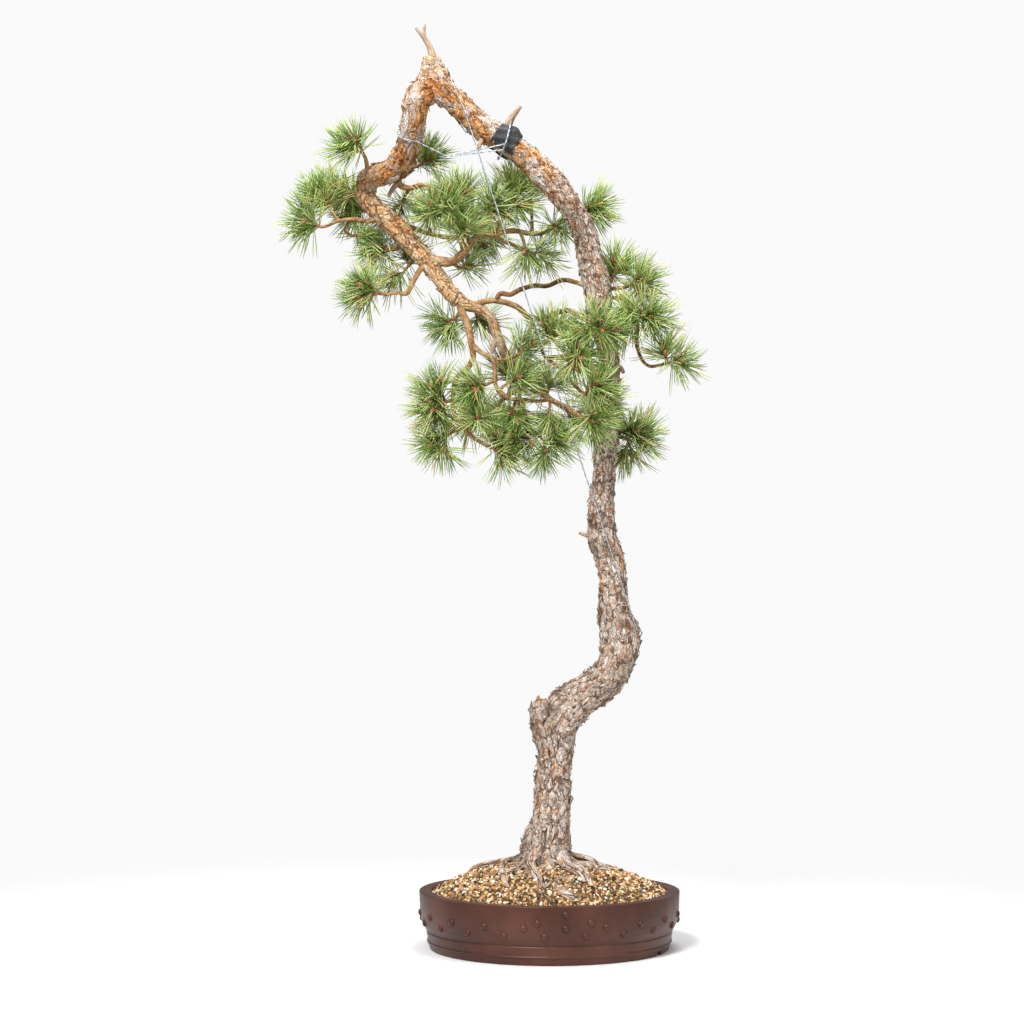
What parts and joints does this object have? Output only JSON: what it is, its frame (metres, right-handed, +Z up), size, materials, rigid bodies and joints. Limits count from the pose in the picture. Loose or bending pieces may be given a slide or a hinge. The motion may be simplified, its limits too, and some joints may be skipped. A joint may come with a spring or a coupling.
{
  "type": "scots pine bonsai",
  "caption": "Tall slim bonsai pine with a bent trunk, one descending limb with needled sprays and taut guy wires, in a round footed stoneware pot.",
  "frame": {"origin": "on the surface that the pot stands on, below the middle of the whole object's box", "axes": "+Z up, +X to the right and +Y to the back as seen from the front of the tree"},
  "size_m": [0.4459, 0.2602, 0.9215],
  "materials": {
    "bark": "rough, scaly",
    "needles": "satin",
    "soil": "gritty",
    "pot": "unglazed, matt",
    "mesh": "matt",
    "rubber": "matt",
    "wire": "drawn, satin"
  },
  "bodies": {
    "root": {"tree": "bark", "soil": "soil", "pot": "pot", "drain_mesh": "mesh", "rubber_pad": "rubber", "guy_wire_long": "wire", "guy_wire_loop": "wire", "spray_01": "needles", "spray_02": "needles", "spray_03": "needles", "spray_04": "needles", "spray_05": "needles", "spray_06": "needles", "spray_07": "needles", "spray_08": "needles", "spray_09": "needles", "spray_10": "needles", "spray_11": "needles", "spray_12": "needles", "spray_13": "needles", "spray_14": "needles", "spray_15": "needles", "spray_16": "needles", "spray_17": "needles", "spray_18": "needles", "spray_19": "needles", "spray_20": "needles", "spray_21": "needles", "spray_22": "needles", "spray_23": "needles", "spray_24": "needles", "spray_25": "needles", "spray_26": "needles", "spray_27": "needles", "spray_28": "needles", "spray_29": "needles", "spray_30": "needles", "spray_31": "needles", "spray_32": "needles", "spray_33": "needles", "spray_34": "needles", "spray_35": "needles", "spray_36": "needles", "spray_37": "needles", "spray_38": "needles", "spray_39": "needles", "spray_40": "needles", "spray_41": "needles", "spray_42": "needles", "spray_43": "needles", "spray_44": "needles", "spray_45": "needles", "spray_46": "needles", "spray_47": "needles", "spray_48": "needles", "spray_49": "needles", "spray_50": "needles", "spray_51": "needles", "spray_52": "needles", "spray_53": "needles"}
  },
  "joints": []
}
